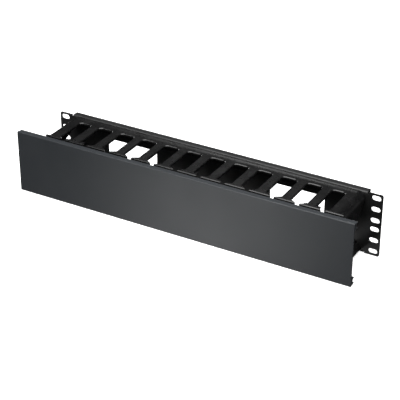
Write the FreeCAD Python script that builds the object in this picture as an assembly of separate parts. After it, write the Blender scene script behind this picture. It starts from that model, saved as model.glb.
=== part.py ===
import FreeCAD, Part
import math
import os

# Horizontal cable manager for a 19-inch rack, two rack units high, all in millimetres.
# A folded steel plate carries two moulded rows of T-headed fingers, one above and one below,
# and an extruded cover snaps over hinge clips on the fingers and swings up about the top row.
# The origin is the centre of the plate's rear face, which sits on the rack's rails.
# X runs to the right seen from the front, Y into the rack and Z up.

V = FreeCAD.Vector

# Steel plate
PLATE_T = 1.6
PANEL_W = 482.6
PANEL_H = 88.1
CORNER_R = 2.3
BEND_R = 0.8
FLANGE_HALF_W = 220.0
FLANGE_DEPTH = 11.0
LIP_H = 8.0
RELIEF_W = 1.2
RELIEF_DEPTH = 3.0

# Rack slots in the ears
UNIT_H = 44.45
HOLE_STEP = 15.875
SLOT_SPACING_X = 465.1
SLOT_LENGTH = 12.2
SLOT_H = 7.0

# Pass-through holes in the plate
PASS_X = 124.1
PASS_W = 77.6
PASS_H = 43.8
PASS_R = 3.0

# Finger rows
ROW_TOP = 43.4
DECK_T = 3.0
FOOT_T = 3.0
FOOT_H = 13.5
FOOT_INNER_R = 1.0
HEEL_T = 3.4
HEEL_RISE = 0.6
HEEL_BACK_R = 1.2
HEEL_SLOPE = 10.0
GAP_COUNT = 12
PITCH = 34.6
FINGER_W = 12.8
NOTCH_W = 5.8
ROOT_DEPTH = 13.9
ROOT_R = 5.0
SHOULDER_DEPTH = 61.0
SHOULDER_SLOPE = 4.9
HEAD_DEPTH = 1.6
HEAD_LIP_H = 5.0
HEAD_LIP_T = 2.0
END_GAP_REACH = 7.6
END_FINGER_W = 20.6
END_HEAD_PAST_IN = 4.2
ROLL_R = 10.0
SKIRT_H = 24.0
SKIRT_START_H = 4.0
SKIRT_RUN = 18.0
SKIRT_SWEEP_R = 25.0
HEAD_CORNER_R = 1.0
EDGE_BREAK = 0.8

# The row's width and length follow from its gaps, its end fingers and its heads
LAST_GAP_X = (GAP_COUNT - 1) / 2 * PITCH
END_GAP_EDGE = LAST_GAP_X + END_GAP_REACH
ROW_HALF_W = END_GAP_EDGE + END_FINGER_W
HEAD_START = SHOULDER_DEPTH + SHOULDER_SLOPE
FINGER_LENGTH = HEAD_START + HEAD_DEPTH

# Hinge clips
CLIP_W = 20.0
CLIP_FINGERS = (-5, 0, 5)
PIVOT_R = 3.0
PIVOT_IN = 8.6
PIVOT_Z = 38.9
CLIP_T = 2.0
NECK_ANGLE = 135.0
NECK_REACH = 7.6
HOOK_R = 1.2
CLIP_SEAT_T = 2.4
CLIP_SEAT_LENGTH = 9.0
CLIP_SEAT_SETBACK = 2.4
PRONG_COUNT = 4
PRONG_PITCH = 5.3
PRONG_W = 2.0
PRONG_LENGTH = 2.2
PRONG_SETBACK = 2.4
PRONG_PROUD = 0.7
PRONG_CLEARANCE = 0.15

# Cover
COVER_FRONT = 81.5
COVER_H = 88.9
COVER_W = 494.0
COVER_SLIDE = -8.1
COVER_T = 2.0
COVER_EDGE_R = 0.9
COVER_LIP_DEPTH = 3.6
COVER_LIP_T = 1.4
COVER_LIP_R = 0.4
PIVOT_CLEARANCE = 0.3
ARM_T = 1.3
ARM_PAST_PIVOT = 1.3
NIB = 0.15
NIB_LENGTH = 0.7

# Rivets
RIVET_X = (-190.0, -95.0, 0.0, 95.0, 190.0)
RIVET_Z = 34.5
RIVET_R = 2.0
RIVET_HEAD_R = 3.6
RIVET_HEAD_H = 1.3
RIVET_HEAD_SLOPE = 0.8
RIVET_TAIL_R = 3.0
RIVET_TAIL_H = 1.6
RIVET_CLEARANCE = 0.1

# Modelling values: how far cutters run past a face, how far parts of one solid run into each
# other, and the smallest length that counts
PAST = 2.0
JOIN = 0.5
TINY = 0.001


def in_front(depth):
    """Y of a point that lies depth in front of the plate's front face."""
    return -PLATE_T - depth


def on_xy(u, v):
    return V(u, v, 0)


def on_xz(u, v):
    return V(u, 0, v)


def on_yz(u, v):
    return V(0, u, v)


def rounded_wire(points, to_space):
    """Closed wire through (u, v, radius) corners, each rounded by its radius."""
    corners = []
    for i, (u, v, radius) in enumerate(points):
        here = V(u, v, 0)
        before = V(points[i - 1][0], points[i - 1][1], 0)
        after = V(points[(i + 1) % len(points)][0], points[(i + 1) % len(points)][1], 0)
        to_before = (before - here).normalize()
        to_after = (after - here).normalize()
        half = to_before.getAngle(to_after) / 2
        if radius <= 0 or half > math.pi / 2 - TINY:
            corners.append((here, here, here))
            continue
        reach = radius / math.tan(half)
        centre = here + (to_before + to_after).normalize() * (radius / math.sin(half))
        middle = centre + (here - centre).normalize() * radius
        corners.append((here + to_before * reach, middle, here + to_after * reach))
    edges = []
    for i, (start, middle, end) in enumerate(corners):
        if (end - start).Length > TINY:
            arc = [to_space(p.x, p.y) for p in (start, middle, end)]
            edges.append(Part.Arc(*arc).toShape())
        following = corners[(i + 1) % len(corners)][0]
        if (following - end).Length > TINY:
            edges.append(Part.makeLine(to_space(end.x, end.y), to_space(following.x, following.y)))
    return Part.Wire(edges)


def prism(points, to_space, along):
    """Solid of a rounded outline pushed along a vector."""
    return Part.Face(rounded_wire(points, to_space)).extrude(along)


def ribbon(path, thickness, inner_r):
    """Corners of a strip of sheet that follows a path on its left side, with bent corners."""
    normals = []
    for a, b in zip(path, path[1:]):
        length = math.hypot(b[0] - a[0], b[1] - a[1])
        normals.append((-(b[1] - a[1]) / length, (b[0] - a[0]) / length))
    near, far = [], []
    for i, (u, v) in enumerate(path):
        before = normals[max(i - 1, 0)]
        after = normals[min(i, len(normals) - 1)]
        turn = before[0] * after[1] - before[1] * after[0]
        scale = thickness / (1 + before[0] * after[0] + before[1] * after[1])
        shift = ((before[0] + after[0]) * scale, (before[1] + after[1]) * scale)
        outer_r = inner_r + thickness
        near_r, far_r = 0, 0
        if turn > TINY:
            near_r, far_r = outer_r, inner_r
        if turn < -TINY:
            near_r, far_r = inner_r, outer_r
        near.append((u, v, near_r))
        far.append((u + shift[0], v + shift[1], far_r))
    return near + far[::-1]


def box(x0, x1, y0, y1, z0, z1):
    return Part.makeBox(x1 - x0, y1 - y0, z1 - z0, V(x0, y0, z0))


def disc(x, z, radius):
    """Round face at y = 0."""
    left, right = on_xz(x - radius, z), on_xz(x + radius, z)
    halves = [Part.Arc(left, on_xz(x, z + radius), right), Part.Arc(right, on_xz(x, z - radius), left)]
    return Part.Face(Part.Wire([half.toShape() for half in halves]))


def slot(x, z):
    """Cutter for one rack slot, running along X, with round ends."""
    r = SLOT_H / 2
    flat = SLOT_LENGTH / 2 - r
    bottom = [on_xz(x + side * flat, z - r) for side in (-1, 1)]
    top = [on_xz(x + side * flat, z + r) for side in (-1, 1)]
    tips = [on_xz(x + side * (flat + r), z) for side in (-1, 1)]
    edges = [Part.makeLine(bottom[0], bottom[1]), Part.Arc(bottom[1], tips[1], top[1]).toShape(),
             Part.makeLine(top[1], top[0]), Part.Arc(top[0], tips[0], bottom[0]).toShape()]
    return through_plate(Part.Face(Part.Wire(edges)))


def through_plate(face):
    """Cutter that pushes a face drawn at y = 0 right through the plate."""
    return face.extrude(V(0, PLATE_T + 2 * PAST, 0)).translated(V(0, -PLATE_T - PAST, 0))


def back_plate():
    half_w = PANEL_W / 2
    half_h = PANEL_H / 2
    back = FLANGE_DEPTH - PLATE_T
    path = [(back, half_h - LIP_H), (back, half_h), (-PLATE_T, half_h),
            (-PLATE_T, -half_h), (back, -half_h), (back, LIP_H - half_h)]
    channel = prism(ribbon(path, PLATE_T, BEND_R), on_yz, V(2 * FLANGE_HALF_W, 0, 0))
    channel.translate(V(-FLANGE_HALF_W, 0, 0))
    sheet = [(-half_w, -half_h, CORNER_R), (half_w, -half_h, CORNER_R),
             (half_w, half_h, CORNER_R), (-half_w, half_h, CORNER_R)]
    ears = prism(sheet, on_xz, V(0, PLATE_T, 0)).translated(V(0, -PLATE_T, 0))
    ears = ears.cut(box(-FLANGE_HALF_W, FLANGE_HALF_W, -PLATE_T - PAST, PAST, -half_h, half_h))
    relief = FLANGE_HALF_W + RELIEF_W
    for level in (-1, 1):
        z0, z1 = sorted((level * (half_h - RELIEF_DEPTH), level * (half_h + PAST)))
        ears = ears.cut(box(-relief, relief, -PLATE_T - PAST, PAST, z0, z1))
    body = channel.fuse(ears)
    cuts = []
    for side in (-1, 1):
        for unit in (-0.5, 0.5):
            for step in (-1, 0, 1):
                cuts.append(slot(side * SLOT_SPACING_X / 2, unit * UNIT_H + step * HOLE_STEP))
        x = side * PASS_X
        opening = [(x - PASS_W / 2, -PASS_H / 2, PASS_R), (x + PASS_W / 2, -PASS_H / 2, PASS_R),
                   (x + PASS_W / 2, PASS_H / 2, PASS_R), (x - PASS_W / 2, PASS_H / 2, PASS_R)]
        cuts.append(through_plate(Part.Face(rounded_wire(opening, on_xz))))
    for x in RIVET_X:
        for level in (-1, 1):
            cuts.append(rivet_hole(x, level * RIVET_Z))
    return body.cut(Part.makeCompound(cuts)).removeSplitter()


def rivet_hole(x, z):
    face = disc(x, z, RIVET_R + RIVET_CLEARANCE).translated(V(0, PAST, 0))
    return face.extrude(V(0, -(PLATE_T + FOOT_T + 2 * PAST), 0))


def gap_outline(left_finger, right_finger, left_head, right_head):
    """Outline of one gap between two fingers, from the notch at the front to the root."""
    half = [(right_head, FINGER_LENGTH + PAST, 0), (right_head, HEAD_START, HEAD_CORNER_R),
            (right_finger, SHOULDER_DEPTH, 0), (right_finger, ROOT_DEPTH, ROOT_R),
            (left_finger, ROOT_DEPTH, ROOT_R), (left_finger, SHOULDER_DEPTH, 0),
            (left_head, HEAD_START, HEAD_CORNER_R), (left_head, FINGER_LENGTH + PAST, 0)]
    return [(x, in_front(depth), r) for x, depth, r in half]


def deck():
    """Flat plate of the row and the lip under its front edge, with the gaps cut and upper edges broken."""
    flat = ROW_HALF_W - ROLL_R
    side = [(flat, 0, 0), (flat, HEAD_START, 0), (ROW_HALF_W, HEAD_START, 0),
            (ROW_HALF_W, FINGER_LENGTH, HEAD_CORNER_R)]
    corners = side + [(-x, depth, r) for x, depth, r in side[::-1]]
    outline = [(x, in_front(depth), r) for x, depth, r in corners]
    plate = prism(outline, on_xy, V(0, 0, HEAD_LIP_H)).translated(V(0, 0, ROW_TOP - HEAD_LIP_H))
    plate = plate.cut(box(-PANEL_W, PANEL_W, in_front(FINGER_LENGTH - HEAD_LIP_T), PAST,
                          ROW_TOP - HEAD_LIP_H - PAST, ROW_TOP - DECK_T))
    gaps = []
    for i in range(GAP_COUNT):
        x = i * PITCH - LAST_GAP_X
        left = [x - (PITCH - FINGER_W) / 2, x - NOTCH_W / 2]
        right = [x + (PITCH - FINGER_W) / 2, x + NOTCH_W / 2]
        if i == 0:
            left = [-END_GAP_EDGE, -END_GAP_EDGE + END_HEAD_PAST_IN]
        if i == GAP_COUNT - 1:
            right = [END_GAP_EDGE, END_GAP_EDGE - END_HEAD_PAST_IN]
        outline = gap_outline(left[0], right[0], left[1], right[1])
        cutter = prism(outline, on_xy, V(0, 0, HEAD_LIP_H + 2 * PAST))
        gaps.append(cutter.translated(V(0, 0, ROW_TOP - HEAD_LIP_H - PAST)))
    plate = plate.cut(Part.makeCompound(gaps))
    upper = [edge for edge in plate.Edges
             if edge.BoundBox.ZMin > ROW_TOP - TINY and edge.BoundBox.YMax < in_front(EDGE_BREAK)
             and (abs(edge.CenterOfMass.x) < flat or edge.CenterOfMass.y < in_front(HEAD_START) - TINY)]
    return plate.makeChamfer(EDGE_BREAK, upper)


def rolled_end():
    """Right-hand edge of the row, rolled down into a skirt that deepens away from the plate."""
    flat = ROW_HALF_W - ROLL_R
    length = HEAD_START + EDGE_BREAK
    path = [(ROW_HALF_W, ROW_TOP - SKIRT_H), (ROW_HALF_W, ROW_TOP), (flat - JOIN, ROW_TOP)]
    section = ribbon(path, DECK_T, ROLL_R - DECK_T)
    roll = prism(section, on_xz, V(0, -length, 0)).translated(V(0, in_front(0), 0))
    side = [(0, 0, 0), (0, SKIRT_START_H, 0), (SKIRT_RUN, SKIRT_H, SKIRT_SWEEP_R), (length, SKIRT_H, 0),
            (length, 0, 0)]
    shadow = prism([(in_front(depth), ROW_TOP - drop, r) for depth, drop, r in side],
                   on_yz, V(ROLL_R + 2 * JOIN, 0, 0))
    return roll.common(shadow.translated(V(flat - JOIN, 0, 0)))


def heel(width, seam):
    """Rear of the row: a foot down the plate and a low ridge that sweeps down to the deck."""
    slope = math.radians(HEEL_SLOPE)
    run = HEEL_RISE / math.tan(slope)
    sweep_r = HEEL_RISE / math.sin(slope) / math.tan(slope / 2)
    outline = [(0, ROW_TOP - FOOT_H, 0), (0, ROW_TOP + HEEL_RISE, HEEL_BACK_R), (HEEL_T, ROW_TOP + HEEL_RISE, 0),
               (HEEL_T + run, ROW_TOP, sweep_r), (seam, ROW_TOP, 0), (seam, ROW_TOP - DECK_T, 0),
               (FOOT_T, ROW_TOP - DECK_T, FOOT_INNER_R), (FOOT_T, ROW_TOP - FOOT_H, 0)]
    section = [(in_front(depth), z, r) for depth, z, r in outline]
    return prism(section, on_yz, V(2 * width, 0, 0)).translated(V(-width, 0, 0))


def finger_row():
    """One moulding: a deck of fingers, rolled down at both ends, with a foot against the plate."""
    seam = ROOT_DEPTH - ROOT_R / 2
    width = ROW_HALF_W - ROLL_R
    in_front_of_heel = deck().cut(box(-PANEL_W, PANEL_W, in_front(seam), PAST, 0, ROW_TOP + PAST))
    end = rolled_end()
    row = in_front_of_heel.fuse([heel(width, seam), end, end.mirror(V(0, 0, 0), V(1, 0, 0))])
    cuts = [rivet_hole(x, RIVET_Z) for x in RIVET_X]
    for finger in CLIP_FINGERS:
        cuts += prongs(finger * PITCH, PRONG_CLEARANCE)
    return row.cut(Part.makeCompound(cuts)).removeSplitter()


def prongs(x, clearance):
    """Prongs of a hinge clip that reach up through the finger's head, or their holes."""
    front = in_front(FINGER_LENGTH - PRONG_SETBACK)
    found = []
    for i in range(PRONG_COUNT):
        centre = x + (i - (PRONG_COUNT - 1) / 2) * PRONG_PITCH
        reach = PRONG_W / 2 + clearance
        found.append(box(centre - reach, centre + reach, front - clearance, front + PRONG_LENGTH + clearance,
                         ROW_TOP - DECK_T - CLIP_SEAT_T / 2, ROW_TOP + PRONG_PROUD))
    return found


def hinge_clip(finger):
    """Moulded clip under a finger's head, whose hook holds a round bar for the cover."""
    x = finger * PITCH
    left = x - CLIP_W / 2
    pivot_y = in_front(COVER_FRONT - PIVOT_IN)
    turn = math.radians(NECK_ANGLE)
    along = (math.sin(turn), math.cos(turn))
    start = (pivot_y + along[1] * CLIP_T / 2, PIVOT_Z - along[0] * CLIP_T / 2)
    elbow = (start[0] + NECK_REACH * along[0], start[1] + NECK_REACH * along[1])
    under = ROW_TOP - DECK_T
    seat_front = in_front(FINGER_LENGTH - CLIP_SEAT_SETBACK)
    seat_back = seat_front + CLIP_SEAT_LENGTH
    back = seat_back - CLIP_T
    path = [start, elbow, (back, elbow[1]), (back, under - CLIP_SEAT_T / 2)]
    hook = prism(ribbon(path, CLIP_T, HOOK_R), on_yz, V(CLIP_W, 0, 0)).translated(V(left, 0, 0))
    bar = Part.makeCylinder(PIVOT_R, CLIP_W, V(left, pivot_y, PIVOT_Z), V(1, 0, 0))
    seat = box(left, left + CLIP_W, seat_front, seat_back, under - CLIP_SEAT_T, under)
    return bar.fuse([hook, seat] + prongs(x, 0)).removeSplitter()


def cover():
    """Extruded panel with a lip and a channel along each long edge of its back."""
    half_h = COVER_H / 2
    front = in_front(COVER_FRONT)
    back = front + COVER_T
    lip_back = front + COVER_LIP_DEPTH
    upper = [(back, half_h - COVER_LIP_T, 0), (lip_back, half_h - COVER_LIP_T, COVER_LIP_R),
             (lip_back, half_h, COVER_EDGE_R), (front, half_h, COVER_EDGE_R)]
    section = [(y, -z, r) for y, z, r in upper[::-1]] + upper
    solid = prism(section, on_yz, V(COVER_W, 0, 0))
    for level in (-1, 1):
        solid = solid.fuse(cover_channel(level, back))
    return solid.removeSplitter().translated(V(COVER_SLIDE - COVER_W / 2, 0, 0))


def cover_channel(level, back):
    """Two arms and the round seat between them, which close over the clips' bars."""
    pivot_y = in_front(COVER_FRONT - PIVOT_IN)
    inner = PIVOT_R + PIVOT_CLEARANCE
    outer = inner + ARM_T
    tip = pivot_y + ARM_PAST_PIVOT
    z = level * PIVOT_Z
    arm = [(back - JOIN, outer, 0), (tip, outer, ARM_T / 2), (tip, inner - NIB, NIB),
           (tip - NIB_LENGTH, inner, 0), (pivot_y, inner, 0)]
    section = [(y, z + reach, r) for y, reach, r in arm]
    section += [(y, z - reach, r) for y, reach, r in arm[::-1]]
    block = prism(section, on_yz, V(COVER_W, 0, 0))
    return block.cut(Part.makeCylinder(inner, COVER_W, V(0, pivot_y, z), V(1, 0, 0)))


def rivets(level):
    """One row of blind rivets, with a low head in front and a set tail behind."""
    solids = []
    for x in RIVET_X:
        z = level * RIVET_Z
        shank = disc(x, z, RIVET_R).extrude(V(0, -PLATE_T - FOOT_T - JOIN, 0))
        tail = disc(x, z, RIVET_TAIL_R).extrude(V(0, RIVET_TAIL_H, 0))
        head = disc(x, z, RIVET_HEAD_R).extrude(V(0, -RIVET_HEAD_H, 0)).translated(V(0, in_front(FOOT_T), 0))
        outer = [edge for edge in head.Edges if edge.BoundBox.YMax < in_front(FOOT_T) - RIVET_HEAD_H + TINY]
        head = head.makeChamfer(RIVET_HEAD_SLOPE, outer)
        solids.append(head.fuse([shank, tail]).removeSplitter())
    return Part.makeCompound(solids)


def flipped(shape):
    """The same piece for the bottom row."""
    return shape.mirror(V(0, 0, 0), V(0, 0, 1))


def main():
    os.makedirs("parts", exist_ok=True)
    row = finger_row()
    nodes = {"back_plate": back_plate(), "top_finger_row": row, "bottom_finger_row": flipped(row),
             "cover": cover(), "top_rivets": rivets(1), "bottom_rivets": rivets(-1)}
    for finger, place in zip(CLIP_FINGERS, ("left", "centre", "right")):
        clip = hinge_clip(finger)
        nodes["hinge_clip_top_" + place] = clip
        nodes["hinge_clip_bottom_" + place] = flipped(clip)
    for name, shape in nodes.items():
        shape.exportStep(os.path.join("parts", name + ".step"))
        size = shape.BoundBox
        print(name, len(shape.Solids), shape.isValid(), round(shape.Volume),
              [round(v, 2) for v in (size.XMin, size.XMax, size.YMin, size.YMax, size.ZMin, size.ZMax)])


main()
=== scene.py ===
import math

import bpy
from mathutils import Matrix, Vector


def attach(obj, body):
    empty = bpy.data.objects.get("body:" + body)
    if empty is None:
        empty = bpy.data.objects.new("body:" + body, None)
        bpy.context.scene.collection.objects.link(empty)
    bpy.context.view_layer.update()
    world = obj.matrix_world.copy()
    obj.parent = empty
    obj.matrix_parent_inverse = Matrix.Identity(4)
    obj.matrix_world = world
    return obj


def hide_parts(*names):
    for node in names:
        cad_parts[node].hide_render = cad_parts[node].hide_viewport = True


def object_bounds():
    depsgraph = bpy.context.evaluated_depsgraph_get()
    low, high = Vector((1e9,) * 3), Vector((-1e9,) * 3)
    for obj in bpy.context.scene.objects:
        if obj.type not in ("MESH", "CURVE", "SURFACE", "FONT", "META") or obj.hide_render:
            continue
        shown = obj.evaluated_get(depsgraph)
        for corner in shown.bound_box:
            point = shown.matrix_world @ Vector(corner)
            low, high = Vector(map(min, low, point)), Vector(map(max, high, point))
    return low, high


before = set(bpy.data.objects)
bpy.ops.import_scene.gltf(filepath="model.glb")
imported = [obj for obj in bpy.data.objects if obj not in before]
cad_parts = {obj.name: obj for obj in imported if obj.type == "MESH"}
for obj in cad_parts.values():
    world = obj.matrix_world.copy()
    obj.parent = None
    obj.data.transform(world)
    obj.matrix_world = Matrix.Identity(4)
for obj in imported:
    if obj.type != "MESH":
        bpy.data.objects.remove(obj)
cad_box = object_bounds()

MM = 0.001

# A copied CAD mesh: points this close become one, and faces this nearly level become one flat face
WELD = 0.001 * MM
LEVEL_WITHIN = math.radians(0.5)

# Edges this sharp are rounded, in this many steps, and creases this sharp stay crisp
ROUNDED_FROM = math.radians(35)
ROUNDING_STEPS = 2
CRISP_FROM = math.radians(55)

# Edge radii
SHEET_EDGE = 0.25 * MM
MOULDED_EDGE = 0.3 * MM
EXTRUDED_EDGE = 0.25 * MM
SMALL_PART_EDGE = 0.2 * MM

# The larger face at an edge sets the shading almost alone, so that flat faces look flat
LARGE_FACE_WEIGHT = 100

# Nearly all of a noise pattern lies between these two values
PATTERN_LOW = 0.3
PATTERN_HIGH = 0.7

# Draws a pattern out a hundred times along the cover
ALONG_THE_COVER = (0.01, 1.0, 1.0)

# The camera that the photograph was taken with, fitted to the panel's edges and slots
CAMERA_PLACE = (0.75957, -1.36840, 0.85318)
CAMERA_AZIMUTH = 29.709
CAMERA_ELEVATION = 29.438
CAMERA_ROLL = -0.102
SENSOR_MM = 36.0
LENS_MM = 121.076

# Studio
OBJECT_MIDDLE = (0, 0, 0)
FLOOR_GAP = 0.15 * MM
FLOOR_Z = cad_box[0][2] - FLOOR_GAP
FLOOR_SIZE = 16.0
FLOOR_GLOW = 0.72
BACKDROP_RADIUS = 7.5
BACKDROP_SEGMENTS = 48
BACKDROP_RINGS = 24
BACKDROP_GLOW = 0.8
WORLD_COLOUR = (0.95, 0.97, 1.0)
WORLD_STRENGTH = 0.025


def deselect():
    bpy.ops.object.select_all(action="DESELECT")


def pick(piece):
    """Select this piece alone and make it the active one."""
    deselect()
    piece.select_set(True)
    bpy.context.view_layer.objects.active = piece


# Materials

def new_material(name, specular):
    """A new material and its shader, which the patterns are linked to."""
    material = bpy.data.materials.new(name)
    material.use_nodes = True
    surface = material.node_tree.nodes["Principled BSDF"]
    surface.inputs["Specular IOR Level"].default_value = specular
    return material, surface


def node(material, kind, inputs):
    """A new node whose named inputs have these values."""
    made = material.node_tree.nodes.new(kind)
    for name, value in inputs.items():
        made.inputs[name].default_value = value
    return made


def link(material, source, target):
    material.node_tree.links.new(source, target)


def object_place(material, scale=(1.0, 1.0, 1.0)):
    """The place on the piece itself, scaled along each axis."""
    place = node(material, "ShaderNodeTexCoord", {})
    mapping = node(material, "ShaderNodeMapping", {"Scale": scale})
    link(material, place.outputs["Object"], mapping.inputs["Vector"])
    return mapping.outputs["Vector"]


def noise(material, place, size, detail):
    """Cloudy pattern whose patches are about size across, in metres."""
    made = node(material, "ShaderNodeTexNoise", {"Scale": 1.0 / size, "Detail": detail})
    link(material, place, made.inputs["Vector"])
    return made.outputs["Fac"]


def plain_colour(surface, colour):
    surface.inputs["Base Color"].default_value = (*colour, 1.0)


def cloudy_colour(material, surface, clouds, dark, light):
    """Let the colour drift between dark and light with the clouds."""
    ramp = node(material, "ShaderNodeValToRGB", {})
    first, last = ramp.color_ramp.elements
    first.position = PATTERN_LOW
    last.position = PATTERN_HIGH
    first.color = (*dark, 1.0)
    last.color = (*light, 1.0)
    link(material, clouds, ramp.inputs["Fac"])
    link(material, ramp.outputs["Color"], surface.inputs["Base Color"])


def cloudy_gloss(material, surface, clouds, smooth, dull):
    """Let the roughness drift between smooth and dull with the clouds."""
    spread = node(material, "ShaderNodeMapRange", {
        "From Min": PATTERN_LOW,
        "From Max": PATTERN_HIGH,
        "To Min": smooth,
        "To Max": dull,
    })
    link(material, clouds, spread.inputs["Value"])
    link(material, spread.outputs["Result"], surface.inputs["Roughness"])


def bumps(material, surface, height, depth, before=None):
    """Raise the surface by up to depth with the pattern, over the bumps before it."""
    made = node(material, "ShaderNodeBump", {"Strength": 1.0, "Distance": depth})
    link(material, height, made.inputs["Height"])
    if before is not None:
        link(material, before, made.inputs["Normal"])
    link(material, made.outputs["Normal"], surface.inputs["Normal"])
    return made.outputs["Normal"]


def powder_coat():
    """Satin black powder coat: slight orange peel and cloudy gloss."""
    material, surface = new_material("black_powder_coat", specular=0.5)
    place = object_place(material)
    clouds = noise(material, place, size=30 * MM, detail=3.0)
    cloudy_colour(material, surface, clouds, dark=(0.0118, 0.0118, 0.0118), light=(0.0142, 0.0142, 0.0142))
    cloudy_gloss(material, surface, clouds, smooth=0.34, dull=0.42)
    orange_peel = noise(material, place, size=1.1 * MM, detail=2.0)
    bumps(material, surface, orange_peel, depth=0.015 * MM)
    return material


def moulded_plastic():
    """Black moulded plastic with a fine spark-eroded grain."""
    material, surface = new_material("moulded_black_plastic", specular=0.6)
    place = object_place(material)
    clouds = noise(material, place, size=22 * MM, detail=3.0)
    cloudy_colour(material, surface, clouds, dark=(0.0043, 0.0043, 0.0044), light=(0.0057, 0.0057, 0.0058))
    cloudy_gloss(material, surface, clouds, smooth=0.24, dull=0.3)
    grain = noise(material, place, size=0.5 * MM, detail=3.0)
    bumps(material, surface, grain, depth=0.0015 * MM)
    return material


def extruded_plastic():
    """Smooth satin extrusion, dark blue grey, with faint lines along its length."""
    material, surface = new_material("extruded_satin_plastic", specular=0.5)
    place = object_place(material)
    clouds = noise(material, place, size=60 * MM, detail=3.0)
    cloudy_colour(material, surface, clouds, dark=(0.027, 0.0305, 0.0345), light=(0.030, 0.0335, 0.0375))
    cloudy_gloss(material, surface, clouds, smooth=0.32, dull=0.36)
    lengthwise = object_place(material, ALONG_THE_COVER)
    die_lines = noise(material, lengthwise, size=1.6 * MM, detail=2.0)
    lined = bumps(material, surface, die_lines, depth=0.006 * MM)
    grain = noise(material, place, size=0.35 * MM, detail=2.0)
    bumps(material, surface, grain, depth=0.004 * MM, before=lined)
    return material


def clip_nylon():
    """Black nylon with a duller skin."""
    material, surface = new_material("clip_nylon", specular=0.35)
    plain_colour(surface, (0.006, 0.006, 0.0065))
    place = object_place(material)
    clouds = noise(material, place, size=8 * MM, detail=3.0)
    cloudy_gloss(material, surface, clouds, smooth=0.4, dull=0.5)
    grain = noise(material, place, size=0.4 * MM, detail=2.0)
    bumps(material, surface, grain, depth=0.01 * MM)
    return material


def rivet_finish():
    """Blackened metal, a little uneven."""
    material, surface = new_material("blackened_rivet", specular=0.4)
    plain_colour(surface, (0.012, 0.012, 0.0125))
    place = object_place(material)
    clouds = noise(material, place, size=3 * MM, detail=3.0)
    cloudy_gloss(material, surface, clouds, smooth=0.28, dull=0.42)
    unevenness = noise(material, place, size=0.8 * MM, detail=2.0)
    bumps(material, surface, unevenness, depth=0.015 * MM)
    return material


def studio_white(name, glow):
    """Plain white that glows a little itself, so that it stays pale far from the lamps."""
    material, surface = new_material(name, specular=0.1)
    plain_colour(surface, (0.93, 0.93, 0.93))
    surface.inputs["Roughness"].default_value = 0.9
    surface.inputs["Emission Color"].default_value = (1.0, 1.0, 1.0, 1.0)
    surface.inputs["Emission Strength"].default_value = glow
    return material


def dress(piece, material):
    piece.data.materials.clear()
    piece.data.materials.append(material)


# The pieces: each CAD node with its edges rounded as the real piece has them

def merge_triangles():
    """Weld the active mesh's loose triangles and join those that make one flat face."""
    bpy.ops.object.mode_set(mode="EDIT")
    bpy.ops.mesh.select_all(action="SELECT")
    bpy.ops.mesh.remove_doubles(threshold=WELD)
    bpy.ops.mesh.dissolve_limited(angle_limit=LEVEL_WITHIN)
    bpy.ops.object.mode_set(mode="OBJECT")


def apply_modifier(piece, kind, **settings):
    """Add one modifier with these settings and apply it."""
    modifier = piece.modifiers.new(kind, kind)
    for name, value in settings.items():
        setattr(modifier, name, value)
    bpy.ops.object.modifier_apply(modifier=modifier.name)


def finished_copy(name, material, body, edge_radius):
    """A merged copy of a CAD node with its edges rounded, standing for that node."""
    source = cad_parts[name]
    piece = bpy.data.objects.new(name + "_finished", source.data.copy())
    bpy.context.scene.collection.objects.link(piece)
    pick(piece)
    merge_triangles()
    apply_modifier(piece, "BEVEL", width=edge_radius, segments=ROUNDING_STEPS, limit_method="ANGLE",
                   angle_limit=ROUNDED_FROM, use_clamp_overlap=True)
    bpy.ops.object.shade_smooth_by_angle(angle=CRISP_FROM)
    apply_modifier(piece, "WEIGHTED_NORMAL", mode="FACE_AREA", weight=LARGE_FACE_WEIGHT, keep_sharp=True)
    dress(piece, material)
    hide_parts(name)
    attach(piece, body)


BLACK_COAT = powder_coat()
FINGER_PLASTIC = moulded_plastic()
COVER_PLASTIC = extruded_plastic()
CLIP_NYLON = clip_nylon()
RIVET_BLACK = rivet_finish()

finished_copy("back_plate", BLACK_COAT, "manager", SHEET_EDGE)
for row in ("top_finger_row", "bottom_finger_row"):
    finished_copy(row, FINGER_PLASTIC, "manager", MOULDED_EDGE)
finished_copy("cover", COVER_PLASTIC, "cover", EXTRUDED_EDGE)
for level in ("top", "bottom"):
    finished_copy(level + "_rivets", RIVET_BLACK, "manager", SMALL_PART_EDGE)
    for spot in ("left", "centre", "right"):
        clip = "hinge_clip_%s_%s" % (level, spot)
        finished_copy(clip, CLIP_NYLON, "manager", SMALL_PART_EDGE)


# Studio

def as_stage(piece, name, material):
    """The studio's surfaces show, but throw no light on the object: the lamps do that."""
    piece.name = name
    dress(piece, material)
    piece.visible_diffuse = False
    piece.visible_glossy = False
    piece.visible_shadow = False


def studio_floor():
    """A level plane just under the object."""
    deselect()
    bpy.ops.mesh.primitive_plane_add(size=FLOOR_SIZE, location=(0, 0, FLOOR_Z))
    bpy.ops.object.transform_apply(location=True)
    as_stage(bpy.context.object, "studio_floor", studio_white("studio_white", FLOOR_GLOW))


def studio_backdrop():
    """A large ball around everything, so that every view has a pale background."""
    deselect()
    bpy.ops.mesh.primitive_uv_sphere_add(segments=BACKDROP_SEGMENTS, ring_count=BACKDROP_RINGS,
                                         radius=BACKDROP_RADIUS)
    bpy.ops.object.shade_smooth()
    as_stage(bpy.context.object, "studio_backdrop", studio_white("backdrop_white", BACKDROP_GLOW))


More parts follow.
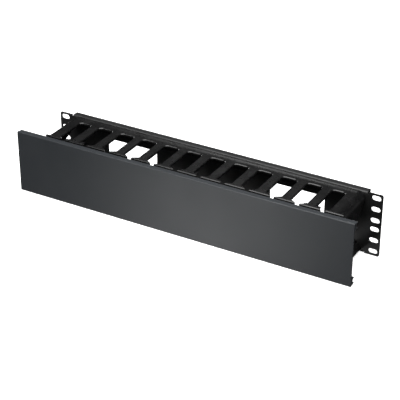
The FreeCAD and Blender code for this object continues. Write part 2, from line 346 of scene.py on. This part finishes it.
def studio_world():
    world = bpy.data.worlds.new("studio")
    world.use_nodes = True
    background = world.node_tree.nodes["Background"]
    background.inputs["Color"].default_value = (*WORLD_COLOUR, 1.0)
    background.inputs["Strength"].default_value = WORLD_STRENGTH
    bpy.context.scene.world = world


def studio_camera():
    data = bpy.data.cameras.new("camera")
    data.sensor_width = SENSOR_MM
    data.lens = LENS_MM
    camera = bpy.data.objects.new("camera", data)
    bpy.context.scene.collection.objects.link(camera)
    camera.location = CAMERA_PLACE
    camera.rotation_mode = "XYZ"
    camera.rotation_euler = (math.radians(90 - CAMERA_ELEVATION), math.radians(CAMERA_ROLL),
                             math.radians(CAMERA_AZIMUTH))
    bpy.context.scene.camera = camera


def soft_light(name, place, size, watts, target=OBJECT_MIDDLE):
    """A rectangular lamp of this width and height, turned to its target."""
    light = bpy.data.lights.new(name, "AREA")
    light.shape = "RECTANGLE"
    light.size, light.size_y = size
    light.energy = watts
    lamp = bpy.data.objects.new(name, light)
    bpy.context.scene.collection.objects.link(lamp)
    lamp.location = place
    lamp.rotation_euler = (Vector(target) - Vector(place)).to_track_quat("-Z", "Y").to_euler()


studio_floor()
studio_backdrop()
studio_world()
studio_camera()

# The main light, from above and from the front
soft_light("overhead", place=(0.15, -0.65, 2.2), size=(3.0, 2.2), watts=105)
soft_light("front", place=(-0.3, -2.6, 0.7), size=(2.2, 1.2), watts=22)

# High behind the left end: it brightens the ridge along the plate
soft_light("back_left", place=(-0.8, 1.32, 1.82), size=(0.5, 0.5), watts=5)

# Low lamps that fill in the back and the ends
soft_light("rear", place=(0.1, 2.6, 0.15), size=(1.4, 0.4), watts=20)
soft_light("left", place=(-2.2, 1.0, 0.2), size=(0.8, 0.4), watts=14)
soft_light("right", place=(2.2, 1.0, 0.2), size=(0.8, 0.4), watts=8)

# It stands where the upright cover mirrors it, and gives the broad sheen along the cover's middle
soft_light("sheen", place=(-0.36, -0.84, -0.5), size=(0.32, 0.4), watts=1.2, target=(0.06, -0.08, 0))

bpy.context.scene.view_settings.view_transform = "Standard"
